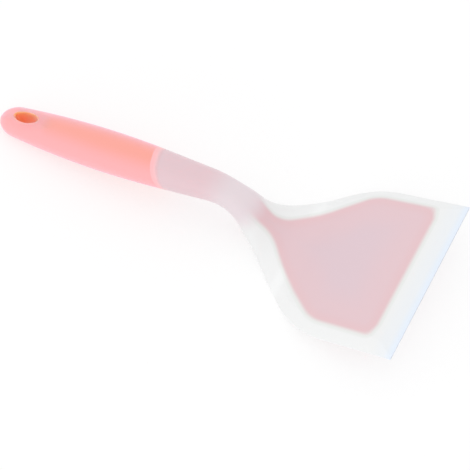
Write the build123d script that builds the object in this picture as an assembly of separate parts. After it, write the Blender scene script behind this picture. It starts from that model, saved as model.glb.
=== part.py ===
from build123d import *
import os
from math import cos, degrees, pi, radians, sin, sqrt, tan

# A wide silicone turner with an S-shaped neck, in millimetres.
# It has three moulded pieces: a stiff nylon core, a milky silicone skin over the blade and the neck,
# and a coral silicone grip over the handle. Both silicones are moulded round the core, face to face.
# The turner lies on a table as it does in use: on the heel of the blade and the end of the handle.

# Spine: the line that every cross-section stands on, from the front edge back to the handle's end.
# It runs along the blade's flat underside, climbs an S-bend and then follows the handle's middle.
blade_flat = 72.0
heel_radius = 41.5
rise_angle = 68.0
neck_radius = 30.0
handle_angle = 8.1
handle_run = 147.5

# Outer outline: half widths, each at its distance before or past the heel or before the handle's end
front_half_width = 56.5
shoulder_before_heel = 10.0
shoulder_half_width = 55.5
shoulder_round = 54.0
neck_past_heel = 47.0
neck_half_width = 7.7
neck_round = 64.0
swell_before_end = 66.0
swell_half_width = 15.4
swell_round = 600.0
end_half_width = 8.8
end_round_length = 11.7

# Outer thickness, and where the flat blade turns into the oval neck
lip_length = 15.0
lip_edge = 1.2
blade_thickness = 5.0
rim_height = 1.2
bevel_width = 9.0
edge_round = 0.4
oval_starts_past_heel = 5.0
oval_ends_past_heel = 58.0
handle_depth_share = 0.74

# Core: a flat paddle in the blade, a rod in the neck and a tang in the handle
core_front = 15.0
core_half_width = 47.3
core_corner_round = 5.0
core_shoulder_before_heel = 17.5
core_shoulder_half_width = 46.5
core_shoulder_round = 20.0
core_neck_past_heel = 32.5
core_neck_half_width = 4.7
core_neck_round = 25.0
tang_swell_before_end = 85.0
tang_swell_half_width = 9.4
tang_swell_round = 400.0
tang_before_hole = 4.0
tang_end_half_width = 7.2
tang_round_length = 7.0
core_edge_round = 0.6
cover_under = 1.6
cover_over = 1.0
neck_cover = 3.3

# Seam between skin and grip, where the skin laps over a short spigot of the grip
seam_past_bend = 33.9
seam_slant = 22.6
seam_skew = 14.4
lap_length = 4.0
lap_depth = 1.3

# Hang hole through the handle's end
hole_from_end = 20.2
hole_length = 16.5
hole_width = 7.6
hole_rim_round = 0.9

# Trim that leaves the blade's underside truly flat, how deep the soft silicone settles where it rests,
# and the gap under which edges count as touching
flat_trim = 0.1
settled_depth = 0.2
touching = 0.01

# How full the corners of a cross-section are, and how much of its size they take
bevel_bulge_share = 0.2
round_bulge_share = 0.5523
oval_width_share = 0.8
oval_height_share = 0.92

# How many cross-sections each stretch has
lip_steps = 4
lap_steps = 4
blade_steps = 8
bend_steps = 14
handle_steps = 12
round_steps = 6
bisections = 40

# Spine and outlines
flat = Line((0, 0), (-blade_flat, 0))
heel = JernArc(flat @ 1, flat % 1, heel_radius, -rise_angle)
neck = JernArc(heel @ 1, heel % 1, neck_radius, rise_angle - handle_angle)
handle = Line(neck @ 1, neck @ 1 + (neck % 1) * handle_run)
spine = Wire([flat, heel, neck, handle]).moved(Plane.XZ.location)

spine_length = spine.length
shoulder_at = blade_flat - shoulder_before_heel
neck_at = blade_flat + neck_past_heel
oval_starts = blade_flat + oval_starts_past_heel
oval_ends = blade_flat + oval_ends_past_heel
core_shoulder_at = blade_flat - core_shoulder_before_heel
core_neck_at = blade_flat + core_neck_past_heel
tang_swell_at = spine_length - tang_swell_before_end
handle_starts = spine_length - handle_run
seam_at = handle_starts + seam_past_bend
hole_at = spine_length - hole_from_end
tang_end = hole_at - hole_length / 2 - tang_before_hole
reach = spine_length

outer_outline = FilletPolyline(
    (0, front_half_width),
    (shoulder_at, shoulder_half_width),
    (neck_at, neck_half_width),
    (spine_length - swell_before_end, swell_half_width),
    (spine_length, end_half_width),
    radius=[shoulder_round, neck_round, swell_round],
)
core_outline = FilletPolyline(
    (core_front, core_half_width),
    (core_shoulder_at, core_shoulder_half_width),
    (core_neck_at, core_neck_half_width),
    (tang_swell_at, tang_swell_half_width),
    (tang_end, tang_end_half_width),
    radius=[core_shoulder_round, core_neck_round, tang_swell_round],
)


def half_width_on(outline, distance):
    """The outline's half width at a distance along the spine, found by halving the interval."""
    low, high = 0, 1
    for _ in range(bisections):
        middle = (low + high) / 2
        if (outline @ middle).X < distance:
            low = middle
        else:
            high = middle
    return (outline @ high).Y


def end_rounding(distance, end, length):
    """1 along a body, falling to 0 at its end as an ellipse does over the given length."""
    into = max(0, distance - (end - length)) / length
    return sqrt(max(0, 1 - into * into))


def ovalness(distance):
    """0 where the section is a flat blade, 1 where it is an oval neck, with a soft change between."""
    share = min(1, max(0, (distance - oval_starts) / (oval_ends - oval_starts)))
    return share * share * (3 - 2 * share)


def mix(blade_value, oval_value, distance):
    """A value that changes from its blade size to its neck size along the bend."""
    share = ovalness(distance)
    return blade_value * (1 - share) + oval_value * share


def outer_half_width(distance):
    width = half_width_on(outer_outline, distance)
    return width * end_rounding(distance, spine_length, end_round_length)


def outer_thickness(distance):
    lip_share = min(1, distance / lip_length)
    plate = lip_edge + (blade_thickness - lip_edge) * sin(pi / 2 * lip_share)
    oval_distance = max(distance, oval_ends)
    return mix(plate, 2 * handle_depth_share * outer_half_width(oval_distance), distance)


def frame_at(distance):
    """The plane of a cross-section: X across the turner, Y up from the spine, Z towards the handle."""
    point = spine.position_at(distance, position_mode=PositionMode.LENGTH)
    back = spine.tangent_at(distance, position_mode=PositionMode.LENGTH)
    return Plane(origin=point, x_dir=(0, -1, 0), z_dir=back)


def soft_corner(start, corner, end, bulge):
    """A corner of a cross-section, from nearly a bevel to nearly a quarter ellipse."""
    start, corner, end = Vector(start), Vector(corner), Vector(end)
    return Bezier(start, start + (corner - start) * bulge, end + (corner - end) * bulge, end)


def section(distance, half_width, low, high, top, under, bulge):
    """A cross-section from low to high, its upper and lower corners given as (width, height)."""
    w, top_w, top_h, low_w, low_h = half_width, *top, *under
    corners = [
        soft_corner((w, low + low_h), (w, low), (w - low_w, low), round_bulge_share),
        soft_corner((low_w - w, low), (-w, low), (-w, low + low_h), round_bulge_share),
        soft_corner((-w, high - top_h), (-w, high), (top_w - w, high), bulge),
        soft_corner((w - top_w, high), (w, high), (w, high - top_h), bulge),
    ]
    edges = []
    for corner, following in zip(corners, corners[1:] + corners[:1]):
        edges += [corner, Line(corner @ 1, following @ 0)]
    return frame_at(distance) * make_face(edges)


def underside(distance):
    """Height of the outer underside over the spine: 0 along the blade, negative where it is an oval."""
    return -mix(0, outer_thickness(distance) / 2, distance)


def untrimmed_underside(distance):
    """Height of the underside before the trim along the blade is cut off."""
    return underside(distance) - mix(flat_trim, 0, distance)


def outer_section(distance, inset=0):
    """A section of the whole outer form, or of the same form drawn in by an inset."""
    width = outer_half_width(distance) - inset
    thickness = outer_thickness(distance)
    low = untrimmed_underside(distance) + inset
    high = underside(distance) + thickness - inset
    bevel_height = thickness - rim_height + edge_round
    bevel_share = bevel_height / (blade_thickness - rim_height + edge_round)
    oval = (oval_width_share * width, oval_height_share * (high - low) / 2)
    top = (
        mix(max(edge_round, bevel_width * bevel_share), oval[0], distance),
        mix(bevel_height, oval[1], distance),
    )
    under = (mix(edge_round, oval[0], distance), mix(edge_round, oval[1], distance))
    bulge = mix(bevel_bulge_share, round_bulge_share, distance)
    return section(distance, width, low, high, top, under, bulge)


def core_half_width_at(distance):
    """Half width of the core: its outline, with the front corners and the tang's end rounded."""
    into_corner = max(0, core_front + core_corner_round - distance)
    corner_cut = core_corner_round - sqrt(core_corner_round**2 - into_corner**2)
    rounding = end_rounding(distance, tang_end, tang_round_length)
    return (half_width_on(core_outline, distance) - corner_cut) * rounding


def core_section(distance):
    """A section of the core, which keeps its cover of silicone below and above."""
    rounding = end_rounding(distance, tang_end, tang_round_length)
    width = core_half_width_at(distance)
    outer_top = underside(distance) + outer_thickness(distance)
    low = (underside(distance) + mix(cover_under, neck_cover, distance)) * rounding
    high = (outer_top - mix(cover_over, neck_cover, distance)) * rounding
    corner = (
        mix(core_edge_round, oval_width_share * width, distance),
        mix(core_edge_round, oval_height_share * (high - low) / 2, distance),
    )
    return section(distance, width, low, high, corner, corner, round_bulge_share)


def spread(start, end, steps):
    """Even distances from start to end, both included."""
    return [start + (end - start) * step / steps for step in range(steps + 1)]


def rounded_start(start, length):
    """Distances that open out from a corner rounded over a length."""
    turns = [pi / 2 * step / round_steps for step in range(round_steps + 1)]
    return [start + length * (1 - cos(turn)) for turn in turns]


def rounded_end(end, length):
    """Distances that crowd towards a rounded end, without the end itself."""
    turns = [pi / 2 * step / round_steps for step in range(1, round_steps)]
    return [end - length + length * sin(turn) for turn in turns]


def soft_body(section_at, stretches, end):
    """Lofts through the stretches' sections, joined; the last one closes at a rounded end."""
    sections = [[section_at(distance) for distance in stretch] for stretch in stretches]
    sections[-1].append(Vertex(frame_at(end).origin))
    return Part() + [loft(stretch) for stretch in sections]


def resting_height(distance, pitch):
    """Height of the underside at a distance, once the front is pitched up by an angle."""
    station = frame_at(distance)
    point = station.origin + station.y_dir * untrimmed_underside(distance)
    return point.Z * cos(pitch) + point.X * sin(pitch)


def resting_pitch():
    """The angle at which the heel of the blade and the handle's end lie equally low."""
    low, high = 0, radians(rise_angle)
    for _ in range(bisections):
        pitch = (low + high) / 2
        heel_height = min(resting_height(distance, pitch) for distance in bend_stretch)
        end_height = min(resting_height(distance, pitch) for distance in handle_stretch)
        if heel_height < end_height:
            low = pitch
        else:
            high = pitch
    return pitch, heel_height


# Stretches of the outer form, each one loft
blade_stretch = spread(lip_length, blade_flat, blade_steps)
bend_stretch = spread(blade_flat, handle_starts, bend_steps)
handle_stretch = spread(handle_starts, spine_length - end_round_length, handle_steps) + rounded_end(
    spine_length, end_round_length
)
outer = soft_body(
    outer_section,
    [spread(0, lip_length, lip_steps), blade_stretch, bend_stretch, handle_stretch],
    spine_length,
)
below = (Align.CENTER, Align.CENTER, Align.MAX)
below_blade = Box(2 * (blade_flat + heel_radius), reach, flat_trim, align=below)

# At rest the front is pitched up, and the origin lies on the table below the middle of the turner.
# The soft silicone settles a little, so the heel and the handle's end each have a small flat there.
pitch, heel_height = resting_pitch()
pitched = Rotation(0, -degrees(pitch), 0)
extent = (pitched * outer).bounding_box()
at_rest = Location((-extent.center().X, 0, -heel_height - settled_depth)) * pitched
below_table = at_rest.inverse() * Box(2 * reach, reach, reach, align=below)
outer = outer - below_blade - below_table

# Core
core = soft_body(
    core_section,
    [
        rounded_start(core_front, core_corner_round),
        spread(core_front + core_corner_round, blade_flat, blade_steps),
        bend_stretch,
        spread(handle_starts, tang_end - tang_round_length, handle_steps)
        + rounded_end(tang_end, tang_round_length),
    ],
    tang_end,
)

# Seam: a plane across the handle that leans back at the top and runs a little askew,
# and the spigot that the skin laps over
seam_frame = frame_at(seam_at)
lean = seam_frame.x_dir * tan(radians(seam_skew)) - seam_frame.y_dir * tan(radians(seam_slant))
seam_plane = Plane(origin=seam_frame.origin, x_dir=seam_frame.x_dir, z_dir=seam_frame.z_dir + lean)
behind_seam = seam_plane * Box(reach, reach, reach, align=(Align.CENTER, Align.CENTER, Align.MIN))
lap_slab = seam_plane * Box(reach, reach, lap_length, align=below)
lap_reach = lap_length + outer_thickness(seam_at) / 2
lap_stretch = spread(seam_at - lap_reach, seam_at + lap_reach, lap_steps)
spigot = loft([outer_section(distance, lap_depth) for distance in lap_stretch]) & lap_slab

# Hang hole, square to the handle
hole_frame = frame_at(hole_at)
hole_plane = Plane(origin=hole_frame.origin, x_dir=hole_frame.z_dir, z_dir=hole_frame.y_dir)
hole = extrude(hole_plane * Ellipse(hole_length / 2, hole_width / 2), amount=reach, both=True)

# The two silicone pieces fill the outer form round the core
grip = (outer & behind_seam) + spigot - hole
hole_edges = [edge for edge in grip.edges() if edge.distance_to(hole) < touching]
rims = [edge for edge in hole_edges if edge.geom_type != GeomType.LINE]
grip = fillet(rims, hole_rim_round) - core
skin = outer - behind_seam - spigot - core

os.makedirs("parts", exist_ok=True)
for name, piece in {"core": core, "skin": skin, "grip": grip}.items():
    placed = at_rest * piece.solid()
    export_step(placed, "parts/" + name + ".step")

print("pitch at rest", round(degrees(pitch), 2), "degrees; front edge", round(-extent.center().X, 2))
for name, point in {
    "blade underside": Vector(-blade_flat / 2, 0, 0),
    "hole middle": hole_frame.origin,
    "seam": seam_plane.origin,
}.items():
    placed_point = (at_rest * Location(point)).position
    print(name, round(placed_point.X, 2), round(placed_point.Z, 2))
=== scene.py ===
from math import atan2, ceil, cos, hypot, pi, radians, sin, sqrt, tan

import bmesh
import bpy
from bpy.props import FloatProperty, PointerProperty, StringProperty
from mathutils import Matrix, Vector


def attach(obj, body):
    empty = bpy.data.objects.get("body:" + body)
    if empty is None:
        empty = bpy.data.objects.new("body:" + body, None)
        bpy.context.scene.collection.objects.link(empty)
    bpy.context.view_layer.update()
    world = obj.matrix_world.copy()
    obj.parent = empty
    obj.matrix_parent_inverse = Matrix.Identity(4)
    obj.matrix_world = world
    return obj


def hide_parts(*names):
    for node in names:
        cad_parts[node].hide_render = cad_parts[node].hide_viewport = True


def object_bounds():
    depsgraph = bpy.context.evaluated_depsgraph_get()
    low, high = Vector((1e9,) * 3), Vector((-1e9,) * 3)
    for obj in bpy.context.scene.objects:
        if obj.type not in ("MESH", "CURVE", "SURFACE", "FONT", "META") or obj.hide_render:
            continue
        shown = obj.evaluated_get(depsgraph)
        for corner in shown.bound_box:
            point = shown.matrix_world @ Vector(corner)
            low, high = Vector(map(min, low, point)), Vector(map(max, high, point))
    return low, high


bl_info = {
    "name": "Silicone Turner",
    "version": (1, 0, 0),
    "blender": (4, 5, 0),
    "location": "3D View > Sidebar > Turner",
    "description": "Models a wide silicone turner: a stiff core, a milky blade and neck, and a coral grip",
    "category": "Add Mesh",
}

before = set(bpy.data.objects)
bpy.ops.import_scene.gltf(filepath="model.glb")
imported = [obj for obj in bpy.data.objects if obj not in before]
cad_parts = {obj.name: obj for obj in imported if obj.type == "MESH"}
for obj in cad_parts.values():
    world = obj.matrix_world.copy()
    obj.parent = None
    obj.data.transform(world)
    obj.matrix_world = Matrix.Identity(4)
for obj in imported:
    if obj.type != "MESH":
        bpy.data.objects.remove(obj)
cad_low, cad_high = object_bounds()

MM = 0.001


# Sizes and colours that a user would change


def length(name, millimetres, description):
    """A size in metres, given here in millimetres."""
    return FloatProperty(
        name=name, description=description, default=millimetres * MM, unit="LENGTH", subtype="DISTANCE"
    )


def tilt(name, degrees, description):
    """An angle in radians, given here in degrees."""
    return FloatProperty(name=name, description=description, default=radians(degrees), unit="ROTATION")


def paint(name, hexadecimal, description):
    """A colour, as an sRGB hex value."""
    return StringProperty(name=name, description=description, default=hexadecimal)


class TurnerSpine(bpy.types.PropertyGroup):
    """The S-shaped line that every cross-section stands on, from the front edge to the handle's end."""

    blade_flat: length("Blade flat", 72.0, "Straight run under the blade, up to its heel")
    heel_radius: length("Heel radius", 41.5, "Upward bend from the blade into the neck")
    rise: tilt("Rise", 68.0, "How steep the neck stands over the blade")
    neck_radius: length("Neck radius", 30.0, "Bend from the neck back into the handle")
    handle_angle: tilt("Handle angle", 8.1, "Handle over the blade's flat")
    handle_run: length("Handle run", 147.5, "Straight run of the handle")
    pitch: tilt("Pitch at rest", 16.42, "How far the front stands up at rest")
    settled: length("Settled", 0.2, "How deep the soft silicone flattens where it rests")


class TurnerForm(bpy.types.PropertyGroup):
    """Half widths and thicknesses of the moulded outer form."""

    front_half_width: length("Front half width", 56.5, "Half the straight front edge")
    shoulder_half_width: length("Shoulder half width", 55.5, "Half width where the blade starts to narrow")
    shoulder_before_heel: length("Shoulder before heel", 10.0, "Shoulder corner, before the heel")
    shoulder_round: length("Shoulder round", 54.0, "Radius of the shoulder")
    neck_half_width: length("Neck half width", 7.7, "Half width of the slimmest neck")
    neck_past_heel: length("Neck past heel", 47.0, "Neck corner, past the heel")
    neck_round: length("Neck round", 64.0, "Radius from the shoulder into the neck")
    swell_half_width: length("Swell half width", 15.4, "Half width corner of the handle's swell")
    swell_before_end: length("Swell before end", 66.0, "Swell corner, before the handle's end")
    swell_round: length("Swell round", 600.0, "Radius of the handle's swell")
    end_half_width: length("End half width", 8.8, "Half width at the handle's end before it is rounded")
    end_round: length("End round", 11.7, "Length of the rounded end")
    lip_run: length("Lip run", 15.0, "Run over which the front lip thickens")
    lip_edge: length("Lip edge", 1.2, "Thickness of the front edge")
    thickness: length("Blade thickness", 5.0, "Thickness of the blade")
    rim: length("Rim", 1.2, "Height of the blade's upright rim")
    bevel: length("Bevel", 9.0, "Width of the bevel inside the rim")
    edge_round: length("Edge round", 0.4, "Rounding of the underside's edge")
    nose_round: length("Nose round", 0.3, "Rounding of the front edge")
    oval_starts_past_heel: length("Oval starts", 5.0, "Where the flat section starts to turn oval")
    oval_ends_past_heel: length("Oval ends", 58.0, "Where the section is a full oval")
    depth_share: FloatProperty(
        name="Depth share", description="Handle's height as a share of its width", default=0.74
    )


class TurnerCore(bpy.types.PropertyGroup):
    """The stiff insert inside both silicones."""

    front: length("Front", 15.0, "Front of the paddle, behind the lip")
    half_width: length("Half width", 47.3, "Half width of the paddle's front")
    corner_round: length("Corner round", 5.0, "Radius of the paddle's front corners")
    shoulder_half_width: length("Shoulder half width", 46.5, "Half width where the paddle narrows")
    shoulder_before_heel: length("Shoulder before heel", 17.5, "Paddle's shoulder corner, before the heel")
    shoulder_round: length("Shoulder round", 20.0, "Radius of the paddle's shoulder")
    neck_half_width: length("Neck half width", 4.7, "Half width of the rod in the neck")
    neck_past_heel: length("Neck past heel", 32.5, "Rod's first corner, past the heel")
    neck_round: length("Neck round", 25.0, "Radius from the paddle into the rod")
    tang_half_width: length("Tang half width", 9.4, "Half width corner of the tang's swell")
    tang_before_end: length("Tang before end", 85.0, "Tang's swell corner, before the handle's end")
    tang_round: length("Tang round", 400.0, "Radius of the tang's swell")
    tang_end_half_width: length("Tang end half width", 7.2, "Half width at the tang's end")
    tang_end_round: length("Tang end round", 7.0, "Length of the tang's rounded end")
    tang_before_hole: length("Tang before hole", 4.0, "Silicone between the tang and the hang hole")
    edge_round: length("Edge round", 0.6, "Rounding of the paddle's edges")
    cover_under: length("Cover under", 1.6, "Silicone under the paddle")
    cover_over: length("Cover over", 1.0, "Silicone over the paddle")
    neck_cover: length("Neck cover", 3.3, "Silicone over and under the rod")


class TurnerJoins(bpy.types.PropertyGroup):
    """The seam between the silicones and the hang hole."""

    seam_past_bend: length("Seam past bend", 33.9, "Colour seam, past the last bend")
    seam_slant: tilt("Seam slant", 22.6, "How far the seam leans back")
    seam_skew: tilt("Seam skew", 14.4, "How far the seam runs askew")
    seam_blend: length("Seam blend", 30.0, "Run over which cross-sections turn to the seam's slant")
    lap_length: length("Lap length", 4.0, "How far the skin laps over the grip's spigot")
    lap_depth: length("Lap depth", 1.3, "How deep the spigot lies under the skin")
    moulding_gap: length("Moulding gap", 0.03, "Hair line between moulded faces")
    hole_from_end: length("Hole from end", 20.2, "Middle of the hang hole, from the handle's end")
    hole_length: length("Hole length", 16.5, "Hang hole along the handle")
    hole_width: length("Hole width", 7.6, "Hang hole across the handle")
    hole_rim_round: length("Hole rim round", 0.9, "Rounding of the hang hole's rims")


class TurnerColours(bpy.types.PropertyGroup):
    """Colours of the core, the two silicones and the floor."""

    nylon: paint("Nylon", "f0522c", "Core")
    nylon_streak: paint("Nylon's streaks", "f0705a", "Core")
    milky: paint("Milky silicone", "f3f4f4", "Skin of the blade")
    thin_lip: paint("Thin lip", "eaf3ff", "Skin at its thinnest")
    lip: paint("Lip", "f1f4f7", "Skin as the lip thickens")
    # Painted light: the colours from here down to the lap paint the glow of the core seen through the
    # unpigmented skin, paler in the bend, and the grip's coral where the skin laps over it
    beside_core: paint("Beside the core", "f8f9f7", "Tint of the skin")
    over_edge: paint("Over the core's edge", "f5d1d6", "Tint of the skin")
    over_core: paint("Over the core", "f4d4da", "Tint of the skin")
    over_middle: paint("Over the core's middle", "efd5dd", "Tint of the skin")
    over_rod: paint("Over the rod", "ffe2e9", "Tint of the neck's skin")
    in_bend: paint("In the bend", "f7e9ee", "Tint of the neck's skin")
    lap: paint("Lap", "fbbdc0", "Skin where it laps over the grip")
    # Painted glow of the tang: salmon over it and pinker beside it, the pinker sides partly standing in for
    # the grip's lighter edges
    coral: paint("Coral silicone", "ffa899", "Grip")
    coral_rim: paint("Coral silicone beside the tang", "ffb2b3", "Grip")
    # Painted glow: the hang hole's wall is a brighter orange than the silicone, standing in for light
    # bounced and scattered in the hole
    painted_hole_glow: paint("Hang hole's wall", "ffb47c", "Grip")
    floor: paint("Floor", "f2f2f2", "Floor as the object sees it")


# Fineness of the meshes: how many steps each corner, flat and run has
CORNER_STEPS = 10
FLAT_STEPS = 12
LIP_STEPS = 8
NOSE_STEPS = 4
RUN_STEP = 2.0 * MM
ROUND_STEPS = 10
SLANT_ROUNDS = 3
HOLE_POINTS = 96
HOLE_RIM_STEPS = 6
WELD = 0.001 * MM
TINY = 1e-9

# Corners of the cross-sections: how full they are, and the oval's corners as shares of its size
BEVEL_BULGE = 0.2
ROUND_BULGE = 0.5523
OVAL_WIDTH_SHARE = 0.8
OVAL_HEIGHT_SHARE = 0.92

# Edges flatter than these angles are shaded smooth
SMOOTH_ANGLE = radians(40)
CUT_SMOOTH_ANGLE = radians(50)

# Values of a material that stand for no colour of the piece
WHITE = "ffffff"
NOT_CLEAR = "000000"
WHITE_LIGHT = (1.0, 1.0, 1.0, 1.0)

# Camera: its eye in millimetres, its angles in degrees, its lens and sensor in millimetres
CAMERA_EYE = (263.44, -468.13, 791.58)
CAMERA_AZIMUTH = 27.619
CAMERA_ELEVATION = 56.810
CAMERA_ROLL = -0.566
CAMERA_LENS = 122.18
SENSOR = 36.0
CAMERA_NEAR = 0.05

# Floor, sky and the strip of light, in metres and watts
FLOOR_SIDE = 6.0
FLOOR_GLOW = 1.1
FLOOR_GLOW_SHARE = 0.5
SKY_STRENGTH = 1.02
STRIP_PLACE = (0.0, -1.3, 0.35)
STRIP_LENGTH = 1.6
STRIP_HEIGHT = 0.3
STRIP_ENERGY = 1.5
LIGHT_BOUNCES = 24
DIFFUSE_BOUNCES = 10


class Outline:
    """Half widths along the spine: straight runs joined by tangent arcs, as on a drawing."""

    def __init__(self, corners, radii):
        self.pieces = []
        start = Vector(corners[0])
        for before, corner, after, radius in zip(corners, corners[1:], corners[2:], radii):
            corner = Vector(corner)
            back = (Vector(before) - corner).normalized()
            on = (Vector(after) - corner).normalized()
            turn = back.angle(on)
            cut = radius / tan(turn / 2)
            middle = corner + (back + on).normalized() * (radius / sin(turn / 2))
            first, last = corner + back * cut, corner + on * cut
            self.pieces.append(("line", start, first))
            side = 1 if corner.y > middle.y else -1
            self.pieces.append(("arc", first, last, middle, radius, side))
            start = last
        self.pieces.append(("line", start, Vector(corners[-1])))

    def at(self, distance):
        """Half width at a distance along the spine."""
        for piece in self.pieces:
            if distance < piece[2].x:
                break
        first, last = piece[1], piece[2]
        if piece[0] == "line":
            share = (distance - first.x) / max(last.x - first.x, TINY)
            return first.y + (last.y - first.y) * share
        middle, radius, side = piece[3:]
        return middle.y + side * sqrt(max(0, radius * radius - (distance - middle.x) ** 2))


class Form:
    """All that the pieces share, worked out from the sizes."""

    def __init__(self, scene):
        self.spine, self.outer, self.core, self.joins = (
            scene.turner_spine, scene.turner_form, scene.turner_core, scene.turner_joins
        )
        spine, outer, core, joins = self.spine, self.outer, self.core, self.joins
        self.heel_run = spine.heel_radius * spine.rise
        self.neck_run = spine.neck_radius * (spine.rise - spine.handle_angle)
        self.handle_starts = spine.blade_flat + self.heel_run + self.neck_run
        self.length = self.handle_starts + spine.handle_run
        self.oval_starts = spine.blade_flat + outer.oval_starts_past_heel
        self.oval_ends = spine.blade_flat + outer.oval_ends_past_heel
        self.seam_at = self.handle_starts + joins.seam_past_bend
        self.hole_at = self.length - joins.hole_from_end
        self.tang_end = self.hole_at - joins.hole_length / 2 - core.tang_before_hole
        self.outer_outline = Outline(
            [
                (0, outer.front_half_width),
                (spine.blade_flat - outer.shoulder_before_heel, outer.shoulder_half_width),
                (spine.blade_flat + outer.neck_past_heel, outer.neck_half_width),
                (self.length - outer.swell_before_end, outer.swell_half_width),
                (self.length, outer.end_half_width),
            ],
            [outer.shoulder_round, outer.neck_round, outer.swell_round],
        )
        self.core_outline = Outline(
            [
                (core.front, core.half_width),
                (spine.blade_flat - core.shoulder_before_heel, core.shoulder_half_width),
                (spine.blade_flat + core.neck_past_heel, core.neck_half_width),
                (self.length - core.tang_before_end, core.tang_half_width),
                (self.tang_end, core.tang_end_half_width),
            ],
            [core.shoulder_round, core.neck_round, core.tang_round],
        )
        heights = [
            self.turned(self.on_spine(distance, 0, self.low(distance))).z
            for distance in spread(spine.blade_flat, self.length - outer.end_round, RUN_STEP)
        ]
        self.lift = -min(heights) - spine.settled

    def station(self, distance):
        """The spine's point and its slope above the blade's flat at a distance from the front edge."""
        spine = self.spine
        on = distance - spine.blade_flat
        if on <= 0:
            return Vector((-distance, 0, 0)), 0
        slope = min(on, self.heel_run) / spine.heel_radius
        back = spine.blade_flat + spine.heel_radius * sin(slope)
        point = Vector((-back, 0, spine.heel_radius * (1 - cos(slope))))
        on -= self.heel_run
        if on <= 0:
            return point, slope
        slope = spine.rise - min(on, self.neck_run) / spine.neck_radius
        point += Vector((sin(slope) - sin(spine.rise), 0, cos(slope) - cos(spine.rise))) * spine.neck_radius
        on -= self.neck_run
        if on > 0:
            point += Vector((-cos(slope), 0, sin(slope))) * on
        return point, slope

    def on_spine(self, distance, across, up):
        """A point of a cross-section, in the blade's own frame."""
        point, slope = self.station(distance)
        return point + Vector((sin(slope), 0, cos(slope))) * up - Vector((0, across, 0))

    def turned(self, point):
        """The same point once the front is pitched up."""
        return Matrix.Rotation(-self.spine.pitch, 3, "Y") @ point

    def place(self, distance, across, up):
        """A point of a cross-section where it lies at rest, never below the table."""
        point = self.turned(self.on_spine(distance, across, up)) + Vector((cad_high.x, 0, self.lift))
        return Vector((point.x, point.y, max(0, point.z)))

    def fields(self, point):
        """Where a point of a piece at rest lies: distance along the spine, across it and up from it."""
        spine = self.spine
        point = point - Vector((cad_high.x, 0, self.lift))
        point = Matrix.Rotation(spine.pitch, 3, "Y") @ point
        if point.x > -spine.blade_flat:
            return -point.x, -point.y, point.z
        out, up = -spine.blade_flat - point.x, spine.heel_radius - point.z
        slope = atan2(out, up)
        if 0 <= slope < spine.rise:
            along = spine.blade_flat + slope * spine.heel_radius
            return along, -point.y, spine.heel_radius - hypot(out, up)
        bend, at = self.station(spine.blade_flat + self.heel_run)
        centre = bend - Vector((sin(at), 0, cos(at))) * spine.neck_radius
        out, up = point.x - centre.x, point.z - centre.z
        slope = atan2(out, up)
        if slope > spine.handle_angle:
            along = self.handle_starts - (slope - spine.handle_angle) * spine.neck_radius
            return along, -point.y, hypot(out, up) - spine.neck_radius
        start, slope = self.station(self.handle_starts)
        out = point - start
        along = -out.x * cos(slope) + out.z * sin(slope)
        return self.handle_starts + along, -point.y, out.x * sin(slope) + out.z * cos(slope)

    def core_half_width(self, distance):
        """The core's outline, with the paddle's front corners and the tang's end rounded."""
        core = self.core
        into_corner = min(core.corner_round, max(0, core.front + core.corner_round - distance))
        corner_cut = core.corner_round - sqrt(core.corner_round**2 - into_corner**2)
        return (self.core_outline.at(distance) - corner_cut) * self.core_rounding(distance)

    def core_rounding(self, distance):
        """1 along the core, falling to 0 at the tang's rounded end."""
        return end_rounding(distance, self.tang_end, self.core.tang_end_round)

    def inside_core(self, distance, across):
        """How far inside the core's outline a place is, in metres; negative outside."""
        at = min(max(distance, self.core.front), self.tang_end)
        beside = self.core_outline.at(at) * self.core_rounding(at) - abs(across)
        step = RUN_STEP / 4
        behind = min(at + step, self.tang_end)
        slope = (self.core_outline.at(behind) - self.core_outline.at(behind - step)) / step
        beside /= sqrt(1 + slope * slope)
        ahead = distance - self.core.front
        corner = self.core.corner_round
        if ahead < corner and beside < corner:
            return corner - hypot(corner - ahead, corner - beside)
        return min(beside, ahead, self.tang_end - distance)

    def ovalness(self, distance):
        """0 along the flat blade, rising smoothly to 1 where the section is a full oval."""
        share = min(1, max(0, (distance - self.oval_starts) / (self.oval_ends - self.oval_starts)))
        return share * share * (3 - 2 * share)

    def mix(self, blade_value, oval_value, distance):
        """A size that changes from the blade's value to the oval's."""
        share = self.ovalness(distance)
        return blade_value * (1 - share) + oval_value * share

    def half_width(self, distance):
        """Half width of the outer form, with the handle's end rounded."""
        return self.outer_outline.at(distance) * end_rounding(distance, self.length, self.outer.end_round)

    def thickness(self, distance):
        """Thickness of the outer form, from the thin lip to the oval handle."""
        outer = self.outer
        lip = sin(pi / 2 * min(1, max(0, distance) / outer.lip_run))
        plate = outer.lip_edge + (outer.thickness - outer.lip_edge) * lip
        oval_at = max(distance, self.oval_ends)
        return self.mix(plate, 2 * outer.depth_share * self.half_width(oval_at), distance)

    def low(self, distance):
        """Height of the underside over the spine."""
        return -self.mix(0, self.thickness(distance) / 2, distance)

    def outer_section(self, distance, inset):
        """Half width, low and high, upper and lower corner sizes and fullness of the outer form."""
        outer = self.outer
        width = self.half_width(distance) - inset
        thickness = self.thickness(distance)
        low = self.low(distance) + inset
        high = self.low(distance) + thickness - inset
        bevel_height = thickness - outer.rim + outer.edge_round
        share = bevel_height / (outer.thickness - outer.rim + outer.edge_round)
        oval = (OVAL_WIDTH_SHARE * width, OVAL_HEIGHT_SHARE * (high - low) / 2)
        top = (
            self.mix(max(outer.edge_round, outer.bevel * share), oval[0], distance),
            min(self.mix(bevel_height, oval[1], distance), high - low),
        )
        under = tuple(self.mix(outer.edge_round, size, distance) for size in oval)
        return width, low, high, top, under, self.mix(BEVEL_BULGE, ROUND_BULGE, distance)

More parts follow.
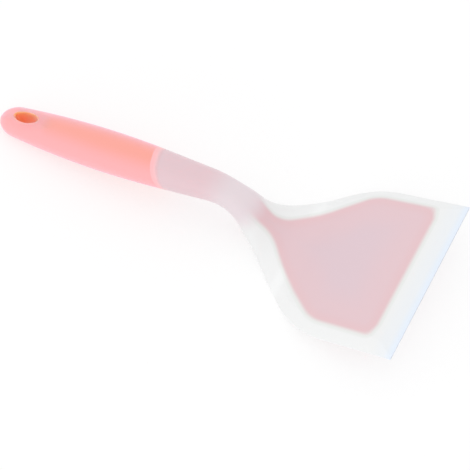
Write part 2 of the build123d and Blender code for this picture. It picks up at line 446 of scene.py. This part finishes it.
    def core_section(self, distance, inset):
        """The same for the core, which keeps its cover of silicone below and above."""
        core = self.core
        rounding = self.core_rounding(distance)
        width = self.core_half_width(distance) - inset
        bottom = self.low(distance)
        top = bottom + self.thickness(distance)
        low = (bottom + self.mix(core.cover_under, core.neck_cover, distance)) * rounding + inset
        high = (top - self.mix(core.cover_over, core.neck_cover, distance)) * rounding - inset
        corner = (
            self.mix(core.edge_round, OVAL_WIDTH_SHARE * width, distance),
            self.mix(core.edge_round, OVAL_HEIGHT_SHARE * (high - low) / 2, distance),
        )
        return width, low, high, corner, corner, ROUND_BULGE

    def ring(self, section, distance, inset=0, slant=0):
        """Points round a cross-section; slant turns it towards the seam's plane, from 0 to 1."""
        flat = section_points(*section(distance, inset))
        if not slant:
            return [self.place(distance, across, up) for across, up in flat]
        points = []
        for turn, (across, up) in enumerate(flat):
            for _ in range(SLANT_ROUNDS):
                shifted = distance + slant * (
                    up * tan(self.joins.seam_slant) - across * tan(self.joins.seam_skew)
                )
                across, up = section_points(*section(shifted, inset))[turn]
            points.append(self.place(shifted, across, up))
        return points


def end_rounding(distance, end, length):
    """1 along a body, falling to 0 at its end as an ellipse does over the given length."""
    into = max(0, distance - (end - length)) / length
    return sqrt(max(0, 1 - into * into))


def soft_corner(start, corner, end, bulge):
    """Points along a corner, from nearly a bevel to nearly a quarter ellipse."""
    start, corner, end = Vector(start), Vector(corner), Vector(end)
    first, last = start.lerp(corner, bulge), end.lerp(corner, bulge)
    points = []
    for step in range(CORNER_STEPS + 1):
        t = step / CORNER_STEPS
        s = 1 - t
        points.append(start * s**3 + first * (3 * s * s * t) + last * (3 * s * t * t) + end * t**3)
    return points


def section_points(width, low, high, top, under, bulge):
    """Points round a cross-section, four corners joined by flats above and below."""
    top_w, top_h = top
    low_w, low_h = under
    corners = [
        soft_corner((width, low + low_h), (width, low), (width - low_w, low), ROUND_BULGE),
        soft_corner((low_w - width, low), (-width, low), (-width, low + low_h), ROUND_BULGE),
        soft_corner((-width, high - top_h), (-width, high), (top_w - width, high), bulge),
        soft_corner((width - top_w, high), (width, high), (width, high - top_h), bulge),
    ]
    points = []
    for index, corner in enumerate(corners):
        points += corner
        if index in (0, 2):
            following = corners[index + 1][0]
            points += [corner[-1].lerp(following, step / FLAT_STEPS) for step in range(1, FLAT_STEPS)]
    return [(point.x, point.y) for point in points]


def spread(start, end, step):
    """Even distances from start to end, both included, about a step apart."""
    steps = max(1, ceil(abs(end - start) / step))
    return [start + (end - start) * index / steps for index in range(steps + 1)]


def rounded_start(start, length):
    """Distances that open out from a corner rounded over a length."""
    return [start + length * (1 - cos(pi / 2 * step / ROUND_STEPS)) for step in range(ROUND_STEPS + 1)]


def rounded_end(end, length):
    """Distances that crowd towards a rounded end, with the last one just short of it."""
    return [end - length + length * sin(pi / 2 * step / ROUND_STEPS) for step in range(1, ROUND_STEPS)]


# Modelling with the mesh operators


def begin_piece(name, ring):
    """Adds a circle, names it and lays its points on the first ring, in edit mode."""
    bpy.ops.object.select_all(action="DESELECT")
    bpy.ops.mesh.primitive_circle_add(vertices=len(ring), radius=max(p.y for p in ring), location=(0, 0, 0))
    piece = bpy.context.object
    piece.name = name
    piece.data.name = name
    bpy.ops.object.mode_set(mode="EDIT")
    lay_selected(ring)
    return piece


def lay_selected(points):
    """Lays the selected points of the mesh in edit mode on the given ones, in order."""
    mesh = bpy.context.object.data
    shape = bmesh.from_edit_mesh(mesh)
    chosen = sorted((v for v in shape.verts if v.select), key=lambda v: v.index)
    for vertex, point in zip(chosen, points):
        vertex.co = point
    bmesh.update_edit_mesh(mesh)


def pull_rings(rings):
    """Extrudes the open edge loop that is selected through each ring in turn."""
    for ring in rings:
        bpy.ops.mesh.extrude_edges_move()
        lay_selected(ring)


def close_with_face():
    """Closes the open loop that is selected with one face."""
    bpy.ops.mesh.edge_face_add()


def close_with_pole(point):
    """Closes the open loop that is selected at one point."""
    bpy.ops.mesh.extrude_edges_move()
    bpy.ops.mesh.merge(type="CENTER")
    lay_selected([point])


def select_ring(first, count):
    """Selects the points of one ring, by the order in which they were made."""
    bpy.ops.mesh.select_all(action="DESELECT")
    mesh = bpy.context.object.data
    shape = bmesh.from_edit_mesh(mesh)
    shape.verts.ensure_lookup_table()
    for index in range(first, first + count):
        shape.verts[index].select = True
    shape.select_flush_mode()
    for edge in shape.edges:
        edge.select = all(vertex.select for vertex in edge.verts)
    bmesh.update_edit_mesh(mesh)


def finish_piece(piece, material):
    """Turns the faces outwards, smooths the shading and gives the piece its material."""
    bpy.ops.mesh.select_all(action="SELECT")
    bpy.ops.mesh.remove_doubles(threshold=WELD)
    bpy.ops.mesh.normals_make_consistent(inside=False)
    bpy.ops.object.mode_set(mode="OBJECT")
    bpy.ops.object.shade_smooth_by_angle(angle=SMOOTH_ANGLE)
    piece.data.materials.clear()
    piece.data.materials.append(material)


def paint_fields(piece, form):
    """Stores on each point, in millimetres, where it lies: along, over the core, by seam and hole."""
    joins = form.joins
    measures = {"along": [], "over_core": [], "past_seam": [], "beside_hole": []}
    for vertex in piece.data.vertices:
        distance, across, up = form.fields(vertex.co)
        lean = up * tan(joins.seam_slant) - across * tan(joins.seam_skew)
        hole_along = (distance - form.hole_at) * 2 / joins.hole_length
        hole_across = across * 2 / joins.hole_width
        measures["along"].append(distance / MM)
        measures["over_core"].append(form.inside_core(distance, across) / MM)
        measures["past_seam"].append((distance - form.seam_at - lean) / MM)
        measures["beside_hole"].append((hypot(hole_along, hole_across) - 1) * joins.hole_width / 2 / MM)
    for name, values in measures.items():
        piece.data.attributes.new(name, "FLOAT", "POINT").data.foreach_set("value", values)


def bond_cavity(piece, form):
    """Gives the faces that lie on the core the bonded material."""
    for face in piece.data.polygons:
        distance, across, up = form.fields(face.center)
        if distance < form.core.front:
            continue
        width, low, high = form.core_section(distance, 0)[:3]
        reach = form.joins.lap_depth / 4
        if abs(across) < width + reach and low - reach < up < high + reach:
            face.material_index = 1


# Materials


def colour(hexadecimal):
    """An sRGB hex value as linear red, green, blue and alpha."""
    channels = [int(hexadecimal[index:index + 2], 16) / 255 for index in (0, 2, 4)]
    return [c / 12.92 if c <= 0.04045 else ((c + 0.055) / 1.055) ** 2.4 for c in channels] + [1.0]


def add_node(tree, kind, values=None, links=None, **settings):
    """Adds a node with its settings, its values and the sockets that feed it."""
    node = tree.nodes.new(kind)
    for name, value in settings.items():
        setattr(node, name, value)
    for name, value in (values or {}).items():
        node.inputs[name].default_value = value
    for name, source in (links or {}).items():
        tree.links.new(source, node.inputs[name])
    return node


def new_material(name):
    """An empty node material and its tree."""
    material = bpy.data.materials.new(name)
    material.use_nodes = True
    material.node_tree.nodes.clear()
    return material, material.node_tree


def speckle(tree, size_mm, detail):
    """Soft noise that stays with the piece, such as grain, or clouds of pigment and filler."""
    place = add_node(tree, "ShaderNodeTexCoord")
    values = {"Scale": 1 / (size_mm * MM), "Detail": detail}
    noise = add_node(tree, "ShaderNodeTexNoise", values, {"Vector": place.outputs["Object"]})
    return noise.outputs["Fac"]


def moulded_texture(tree, grain_mm, depth_mm):
    """A fine matt tool texture as a bump."""
    values = {"Strength": 0.5, "Distance": depth_mm * MM}
    bump = add_node(tree, "ShaderNodeBump", values, {"Height": speckle(tree, grain_mm, 2.0)})
    return bump.outputs["Normal"]


def moulded_surface(tree, values, links=None):
    """Ends a material in one principled surface."""
    shader = add_node(tree, "ShaderNodeBsdfPrincipled", values, links)
    add_node(tree, "ShaderNodeOutputMaterial", links={"Surface": shader.outputs["BSDF"]})


def measured(tree, name):
    """A measure in millimetres that paint_fields stored on the piece."""
    return add_node(tree, "ShaderNodeAttribute", attribute_name=name).outputs["Fac"]


def graded(tree, source, stops):
    """Colour or share that changes with a measure in millimetres, given as stops of measure and value."""
    first, last = stops[0][0], stops[-1][0]
    scale = add_node(tree, "ShaderNodeMapRange", {1: first, 2: last}, {0: source})
    ramp = add_node(tree, "ShaderNodeValToRGB", {}, {0: scale.outputs[0]})
    ramp.color_ramp.interpolation = "EASE"
    elements = ramp.color_ramp.elements
    while len(elements) < len(stops):
        elements.new(0.5)
    for element, (measure, _) in zip(elements, stops):
        element.position = (measure - first) / (last - first)
    for element, (_, value) in zip(elements, stops):
        element.color = colour(value) if isinstance(value, str) else (value, value, value, 1)
    return ramp.outputs[0]


def faded(tree, source, start, end):
    """A share that rises smoothly from 0 to 1 between two measures in millimetres."""
    share = add_node(
        tree, "ShaderNodeMapRange", {1: start, 2: end}, {0: source}, interpolation_type="SMOOTHSTEP"
    )
    return share.outputs[0]


def blended(tree, share, first, second, how="MIX"):
    """Two colours mixed by a share; each is a hex value or a socket."""
    values, links = {}, {0: share}
    for socket, part in ((6, first), (7, second)):
        if isinstance(part, str):
            values[socket] = colour(part)
        else:
            links[socket] = part
    mix = add_node(tree, "ShaderNodeMix", values, links, data_type="RGBA", blend_type=how)
    return mix.outputs[2]


def moulded_coral_nylon(colours):
    """Pigmented nylon, injection moulded: opaque, with a satin surface and a fine tool texture."""
    material, tree = new_material("moulded_coral_nylon")
    bump = moulded_texture(tree, grain_mm=0.6, depth_mm=0.02)
    base = blended(tree, speckle(tree, 9.0, 3.0), colours.nylon, colours.nylon_streak)
    moulded_surface(
        tree,
        {"Roughness": 0.45, "IOR": 1.53},
        {"Base Color": base, "Normal": bump},
    )
    return material


def moulded_milky_silicone(colours):
    """Platinum-cured silicone rubber, unpigmented, moulded in a matt tool: light scatters in the milk.

    The thin front lip is cool and the blade behind it milky white. Over the core, the core's pink glow
    through the milk is painted into the skin's colour, paler in the bend, spreading a few millimetres to
    either side of the core's edge, with a faint grey just outside it. Where the skin laps over the grip,
    the coral that shows through is painted in.
    """
    material, tree = new_material("moulded_milky_silicone")
    bump = moulded_texture(tree, grain_mm=0.5, depth_mm=0.015)
    along = measured(tree, "along")
    past_seam = measured(tree, "past_seam")
    milk = graded(tree, along, [(0.0, colours.thin_lip), (5.0, colours.lip), (13.0, colours.milky)])
    # Painted glow of the core through the milk: pink over the core, fading to white a few millimetres
    # beside its edge, faintly grey just outside it
    plate = graded(
        tree,
        measured(tree, "over_core"),
        [
            (-3.2, WHITE),
            (-1.8, colours.beside_core),
            (1.4, colours.over_edge),
            (8.0, colours.over_core),
            (30.0, colours.over_middle),
        ],
    )
    # Painted glow of the rod in the neck, paler in the bend
    rod = blended(tree, faded(tree, along, 138.0, 156.0), colours.in_bend, colours.over_rod)
    painted_core_glow = blended(tree, faded(tree, along, 116.0, 130.0), plate, rod)
    body = add_node(
        tree, "ShaderNodeMix", {0: 1.0}, {6: milk, 7: painted_core_glow}, data_type="RGBA", blend_type="MULTIPLY"
    ).outputs[2]
    # Painted coral of the grip seen through, where the skin laps over it
    base = blended(tree, faded(tree, past_seam, -6.5, -1.5), body, colours.lap)
    clear = graded(tree, along, [(90.0, 0.06), (112.0, 0.1), (138.0, 0.1), (156.0, 0.2)])
    clearness = blended(tree, faded(tree, past_seam, -5.0, -2.5), clear, NOT_CLEAR)
    moulded_surface(
        tree,
        {
            "Roughness": 0.42,
            "IOR": 1.41,
            "Sheen Weight": 0.5,
            "Sheen Roughness": 0.35,
            "Sheen Tint": (1.0, 1.0, 1.0, 1.0),
        },
        {
            "Base Color": base,
            "Normal": bump,
            "Transmission Weight": clearness,
        },
    )
    return material


def bonded_silicone():
    """The skin's face on the core: the two are bonded, so light passes it without bending."""
    material, tree = new_material("bonded_silicone")
    moulded_surface(
        tree,
        {"Base Color": WHITE_LIGHT, "Roughness": 0.0, "IOR": 1.0, "Transmission Weight": 1.0},
    )
    return material


def moulded_coral_silicone(colours):
    """Silicone rubber with coral pigment, moulded in a matt tool: light scatters deep in it.

    Over the tang it is painted salmon, the tang's glow seen through the silicone. At the sides and round
    the hang hole no tang lies inside, and it is painted pinker, which partly stands in for the grip's
    lighter edges. The hang hole's wall is painted a brighter orange, standing in for light scattered and
    bounced in the hole.
    """
    material, tree = new_material("moulded_coral_silicone")
    bump = moulded_texture(tree, grain_mm=0.5, depth_mm=0.015)
    # Painted glow of the tang: salmon over it, pinker beside it and at the lighter edges
    grip = graded(
        tree,
        measured(tree, "over_core"),
        [(-3.0, colours.coral_rim), (8.0, colours.coral)],
    )
    # Painted orange glow on the hang hole's wall
    wall = faded(tree, measured(tree, "beside_hole"), 0.55, 0.1)
    base = blended(tree, wall, grip, colours.painted_hole_glow)
    deep = graded(tree, measured(tree, "beside_hole"), [(0.0, 1.0), (2.0, 0.6), (6.0, 0.0)])
    moulded_surface(
        tree,
        {
            "Roughness": 0.42,
            "IOR": 1.41,
            "Transmission Weight": 0.05,
            "Subsurface Radius": (1.0, 0.3, 0.2),
            "Subsurface Scale": 10.0 * MM,
            "Sheen Weight": 1.0,
            "Sheen Roughness": 0.45,
            "Sheen Tint": (1.0, 0.75, 0.95, 1.0),
        },
        {"Base Color": base, "Normal": bump, "Subsurface Weight": deep},
    )
    return material


# Operators: one for each piece and one for the stage


class TURNER_OT_core(bpy.types.Operator):
    """Add the stiff core: a paddle in the blade, a rod in the neck and a tang in the handle"""

    bl_idname = "turner.core"
    bl_label = "Core"

    def execute(self, context):
        form = Form(context.scene)
        core = form.core
        corner_end = core.front + core.corner_round
        distances = rounded_start(core.front, core.corner_round)
        distances += spread(corner_end, form.tang_end - core.tang_end_round, RUN_STEP)[1:]
        distances += rounded_end(form.tang_end, core.tang_end_round)
        rings = [form.ring(form.core_section, distance) for distance in distances]
        piece = begin_piece("insert", rings[0])
        close_with_face()
        select_ring(0, len(rings[0]))
        pull_rings(rings[1:])
        close_with_pole(form.place(form.tang_end, 0, 0))
        finish_piece(piece, moulded_coral_nylon(context.scene.turner_colours))
        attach(piece, "root")
        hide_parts("core")
        return {"FINISHED"}


class TURNER_OT_skin(bpy.types.Operator):
    """Add the milky silicone skin over the blade and the neck"""

    bl_idname = "turner.skin"
    bl_label = "Skin"

    def execute(self, context):
        form = Form(context.scene)
        outer, core, joins = form.outer, form.core, form.joins
        gap = joins.moulding_gap
        nose = outer.nose_round
        turns = [pi / 2 * step / NOSE_STEPS for step in range(NOSE_STEPS)]
        rings = [
            form.ring(form.outer_section, nose * (1 - cos(turn)), nose * (1 - sin(turn))) for turn in turns
        ]
        distances = spread(nose, outer.lip_run, outer.lip_run / LIP_STEPS)
        distances += spread(outer.lip_run, form.seam_at - joins.seam_blend, RUN_STEP)[1:]
        rings += [form.ring(form.outer_section, distance) for distance in distances]
        slanted = spread(form.seam_at - joins.seam_blend, form.seam_at - gap, RUN_STEP)[1:]
        rings += [
            form.ring(form.outer_section, d, 0, 1 - (form.seam_at - d) / joins.seam_blend) for d in slanted
        ]
        # The seam's face, the lap round the spigot and the cavity round the core, back to its front
        lap = joins.lap_depth - gap
        lap_end = form.seam_at - joins.lap_length - gap
        rings.append(form.ring(form.outer_section, form.seam_at - gap, lap, 1))
        lapped = spread(form.seam_at, lap_end, RUN_STEP)[1:]
        rings += [form.ring(form.outer_section, d, lap, 1) for d in lapped]
        cavity = spread(lap_end, core.front + core.corner_round, RUN_STEP)
        rings += [
            form.ring(form.core_section, d, gap, max(0, 1 - (lap_end - d) / joins.seam_blend))
            for d in cavity
        ]
        corner = list(reversed(rounded_start(core.front, core.corner_round)))[1:]
        rings += [form.ring(form.core_section, d, gap) for d in corner]
        piece = begin_piece("skin_over_blade", rings[0])
        close_with_face()
        select_ring(0, len(rings[0]))
        pull_rings(rings[1:])
        close_with_face()
        finish_piece(piece, moulded_milky_silicone(context.scene.turner_colours))
        piece.data.materials.append(bonded_silicone())
        paint_fields(piece, form)
        bond_cavity(piece, form)
        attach(piece, "root")
        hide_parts("skin")
        return {"FINISHED"}


class TURNER_OT_grip(bpy.types.Operator):
    """Add the coral silicone grip with its hang hole"""

    bl_idname = "turner.grip"
    bl_label = "Grip"

    def execute(self, context):
        form = Form(context.scene)
        outer, core, joins = form.outer, form.core, form.joins
        gap = joins.moulding_gap
        blend_end = form.seam_at + joins.seam_blend
        # From the handle's end forward to the seam, the spigot, and back along the tang
        distances = list(reversed(rounded_end(form.length, outer.end_round)))
        distances += list(reversed(spread(blend_end, form.length - outer.end_round, RUN_STEP)))
        rings = [form.ring(form.outer_section, distance) for distance in distances]
        rings += [
            form.ring(form.outer_section, d, 0, (blend_end - d) / joins.seam_blend)
            for d in reversed(spread(form.seam_at, blend_end, RUN_STEP)[:-1])
        ]
        spigot_end = form.seam_at - joins.lap_length
        rings += [
            form.ring(form.outer_section, d, joins.lap_depth, 1)
            for d in reversed(spread(spigot_end, form.seam_at, RUN_STEP))
        ]
        rings.append(form.ring(form.core_section, spigot_end, gap, 1))
        tang = spread(spigot_end, form.tang_end - core.tang_end_round, RUN_STEP)[1:]
        tang += rounded_end(form.tang_end, core.tang_end_round)
        rings += [
            form.ring(form.core_section, d, gap, max(0, 1 - (d - spigot_end) / joins.seam_blend))
            for d in tang
        ]
        piece = begin_piece("handle_grip", rings[0])
        close_with_pole(form.place(form.length, 0, 0))
        select_ring(0, len(rings[0]))
        pull_rings(rings[1:])
        close_with_pole(form.place(form.tang_end - gap, 0, 0))
        finish_piece(piece, moulded_coral_silicone(context.scene.turner_colours))
        cut_hang_hole(piece, form)
        paint_fields(piece, form)
        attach(piece, "root")
        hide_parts("grip")
        return {"FINISHED"}


def grip_height(form, distance, across):
    """Height of the grip's surface over the handle's middle line."""
    width = form.half_width(distance)
    height = form.thickness(distance) / 2
    flat = (1 - OVAL_WIDTH_SHARE) * width
    out = max(0, abs(across) - flat) / (OVAL_WIDTH_SHARE * width)
    return height * (1 - OVAL_HEIGHT_SHARE + OVAL_HEIGHT_SHARE * sqrt(max(0, 1 - out * out)))


def hole_ring(form, wider, side, sunk):
    """Points round the hang hole's ellipse made wider, at a depth below the rim's surface."""
    joins = form.joins
    points = []
    for index in range(HOLE_POINTS):
        turn = 2 * pi * index / HOLE_POINTS
        along = (joins.hole_length / 2 + wider) * cos(turn)
        across = (joins.hole_width / 2 + wider) * sin(turn)
        rim_along = (joins.hole_length / 2 + joins.hole_rim_round) * cos(turn)
        rim_across = (joins.hole_width / 2 + joins.hole_rim_round) * sin(turn)
        up = grip_height(form, form.hole_at + rim_along, rim_across) - sunk
        point = form.turned(form.on_spine(form.hole_at + along, across, side * up))
        points.append(point + Vector((cad_high.x, 0, form.lift)))
    return points


def cut_hang_hole(grip, form):
    """Cuts the hang hole with a core pin whose ends flare into the rounded rims."""
    rim = form.joins.hole_rim_round
    turns = [pi / 2 * step / HOLE_RIM_STEPS for step in range(HOLE_RIM_STEPS + 1)]
    upper = [hole_ring(form, rim * (1 - cos(turn)), 1, rim * (1 - sin(turn))) for turn in turns]
    lower = [hole_ring(form, rim * (1 - cos(turn)), -1, rim * (1 - sin(turn))) for turn in turns]
    above = hole_ring(form, 2 * rim, 1, -rim / 2)
    below = hole_ring(form, 2 * rim, -1, -rim / 2)
    rings = [below] + list(reversed(lower)) + upper + [above]
    pin = begin_piece("hole_pin", rings[0])
    close_with_face()
    select_ring(0, len(rings[0]))
    pull_rings(rings[1:])
    close_with_face()
    bpy.ops.mesh.select_all(action="SELECT")
    bpy.ops.mesh.normals_make_consistent(inside=False)
    bpy.ops.object.mode_set(mode="OBJECT")
    bpy.ops.object.select_all(action="DESELECT")
    bpy.context.view_layer.objects.active = grip
    grip.select_set(True)
    cut = grip.modifiers.new("hang_hole", "BOOLEAN")
    cut.operation = "DIFFERENCE"
    cut.solver = "EXACT"
    cut.object = pin
    bpy.ops.object.modifier_apply(modifier=cut.name)
    pin_mesh = pin.data
    bpy.data.objects.remove(pin)
    bpy.data.meshes.remove(pin_mesh)
    bpy.ops.object.shade_smooth_by_angle(angle=CUT_SMOOTH_ANGLE)


def mixed_shader(tree, share, first, second):
    """Two shaders mixed by a share, which is a number or a socket."""
    values, links = {}, {1: first.outputs[0], 2: second.outputs[0]}
    if isinstance(share, float):
        values[0] = share
    else:
        links[0] = share
    return add_node(tree, "ShaderNodeMixShader", values, links)


def white_floor_material(colours):
    """A white floor that glows a little, and is plain white where silicone or gloss shows it."""
    material, tree = new_material("white_floor")
    path = add_node(tree, "ShaderNodeLightPath")
    diffuse = add_node(tree, "ShaderNodeBsdfDiffuse", {"Color": colour(colours.floor)})
    glow = add_node(tree, "ShaderNodeEmission", {"Color": WHITE_LIGHT, "Strength": FLOOR_GLOW})
    both = mixed_shader(tree, FLOOR_GLOW_SHARE, diffuse, glow)
    white = add_node(tree, "ShaderNodeEmission", {"Color": WHITE_LIGHT, "Strength": 1.0})
    rays = {0: path.outputs["Is Transmission Ray"], 1: path.outputs["Is Glossy Ray"]}
    seen_through = add_node(tree, "ShaderNodeMath", {}, rays, operation="MAXIMUM")
    surface = mixed_shader(tree, seen_through.outputs[0], both, white)
    add_node(tree, "ShaderNodeOutputMaterial", links={"Surface": surface.outputs[0]})
    return material


def add_camera(scene):
    """Adds the camera, level but for its small roll."""
    azimuth, elevation = radians(CAMERA_AZIMUTH), radians(CAMERA_ELEVATION)
    back = Vector((sin(azimuth) * cos(elevation), -cos(azimuth) * cos(elevation), sin(elevation)))
    roll = Matrix.Rotation(radians(CAMERA_ROLL), 3, "Z").to_quaternion()
    bpy.ops.object.camera_add(location=[value * MM for value in CAMERA_EYE])
    camera = bpy.context.object
    camera.rotation_mode = "QUATERNION"
    camera.rotation_quaternion = (-back).to_track_quat("-Z", "Y") @ roll
    camera.data.lens = CAMERA_LENS
    camera.data.sensor_width = SENSOR
    camera.data.clip_start = CAMERA_NEAR
    scene.camera = camera


def add_floor(scene):
    """Adds the white floor."""
    bpy.ops.mesh.primitive_plane_add(size=FLOOR_SIDE, location=(0, 0, 0))
    floor = bpy.context.object
    floor.name = "floor"
    floor.data.materials.append(white_floor_material(scene.turner_colours))


def add_sky(scene):
    """Adds even white light from all sides, which the camera sees as plain white."""
    world = bpy.data.worlds.new("studio")
    scene.world = world
    world.use_nodes = True
    tree = world.node_tree
    tree.nodes.clear()
    path = add_node(tree, "ShaderNodeLightPath")
    light = add_node(tree, "ShaderNodeBackground", {"Color": WHITE_LIGHT, "Strength": SKY_STRENGTH})
    white = add_node(tree, "ShaderNodeBackground", {"Color": WHITE_LIGHT, "Strength": 1.0})
    sky = mixed_shader(tree, path.outputs["Is Camera Ray"], light, white)
    add_node(tree, "ShaderNodeOutputWorld", links={"Surface": sky.outputs[0]})


def add_strip():
    """Adds the low strip of light in front."""
    bpy.ops.object.light_add(type="AREA", location=STRIP_PLACE)
    strip = bpy.context.object
    strip.name = "low_strip"
    strip.data.shape = "RECTANGLE"
    strip.data.size = STRIP_LENGTH
    strip.data.size_y = STRIP_HEIGHT
    strip.data.energy = STRIP_ENERGY
    strip.rotation_mode = "QUATERNION"
    strip.rotation_quaternion = (Vector((0, 0, 0)) - strip.location).to_track_quat("-Z", "Y")


class TURNER_OT_stage(bpy.types.Operator):
    """Add the camera, the soft lights and the white floor"""

    bl_idname = "turner.stage"
    bl_label = "Stage"

    def execute(self, context):
        scene = context.scene
        bpy.ops.object.select_all(action="DESELECT")
        add_camera(scene)
        add_floor(scene)
        add_sky(scene)
        add_strip()
        scene.cycles.max_bounces = LIGHT_BOUNCES
        scene.cycles.diffuse_bounces = DIFFUSE_BOUNCES
        scene.cycles.transmission_bounces = LIGHT_BOUNCES
        scene.view_settings.view_transform = "Standard"
        scene.cycles.use_denoising = True
        return {"FINISHED"}


class TURNER_PT_panel(bpy.types.Panel):
    """The turner's pieces, sizes and colours"""

    bl_idname = "TURNER_PT_panel"
    bl_label = "Turner"
    bl_space_type = "VIEW_3D"
    bl_region_type = "UI"
    bl_category = "Turner"

    def draw(self, context):
        layout = self.layout
        for operator in OPERATORS:
            layout.operator(operator.bl_idname)
        for name in GROUPS:
            box = layout.box()
            group = getattr(context.scene, name)
            for key in group.__annotations__:
                box.prop(group, key)


OPERATORS = (TURNER_OT_stage, TURNER_OT_core, TURNER_OT_skin, TURNER_OT_grip)
GROUPS = {
    "turner_spine": TurnerSpine,
    "turner_form": TurnerForm,
    "turner_core": TurnerCore,
    "turner_joins": TurnerJoins,
    "turner_colours": TurnerColours,
}


def register():
    for group in GROUPS.values():
        bpy.utils.register_class(group)
    for name, group in GROUPS.items():
        setattr(bpy.types.Scene, name, PointerProperty(type=group))
    for operator in OPERATORS:
        bpy.utils.register_class(operator)
    bpy.utils.register_class(TURNER_PT_panel)


def unregister():
    bpy.utils.unregister_class(TURNER_PT_panel)
    for operator in reversed(OPERATORS):
        bpy.utils.unregister_class(operator)
    for name in GROUPS:
        delattr(bpy.types.Scene, name)
    for group in reversed(list(GROUPS.values())):
        bpy.utils.unregister_class(group)


def main():
    register()
    bpy.ops.turner.stage()
    bpy.ops.turner.core()
    bpy.ops.turner.skin()
    bpy.ops.turner.grip()


if __name__ == "__main__":
    main()
